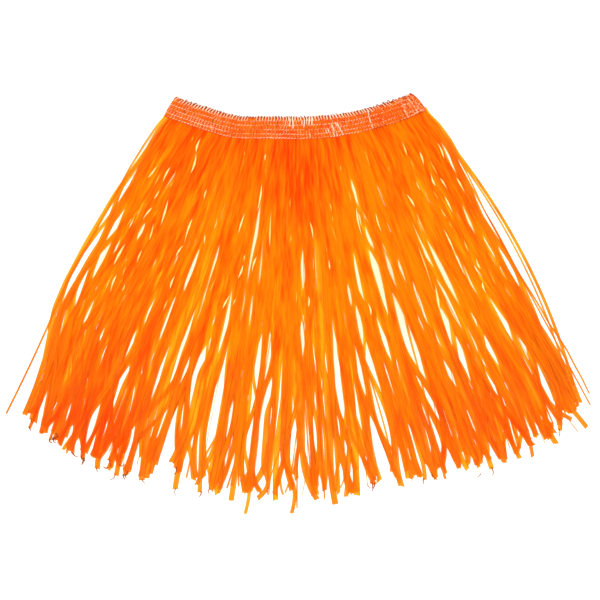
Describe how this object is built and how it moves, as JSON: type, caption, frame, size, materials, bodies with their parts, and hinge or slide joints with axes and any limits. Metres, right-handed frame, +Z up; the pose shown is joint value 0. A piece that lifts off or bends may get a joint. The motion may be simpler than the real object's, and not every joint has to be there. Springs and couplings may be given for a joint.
{
  "type": "grass skirt",
  "caption": "Raffia grass skirt lying flat: a curved elastic waistband with a front and a back fringe of long, loose, translucent orange strands.",
  "frame": {"origin": "on the surface the skirt lies on, under the middle of the laid-out skirt's bounding box", "axes": "+Z up from the surface; +Y towards the waistband, -Y towards the hem; +X towards the end with the side join"},
  "size_m": [0.5868, 0.4194, 0.0061],
  "materials": {
    "elastic": "crocheted elastic, orange over red-orange, matte",
    "stitching": "pale peach and white thread, matte",
    "raffia": "split polypropylene film, thin and translucent, satin"
  },
  "bodies": {
    "root": {"waistband": "elastic", "side_join": "stitching", "fringe_front": "raffia", "fringe_back": "raffia"}
  },
  "joints": []
}
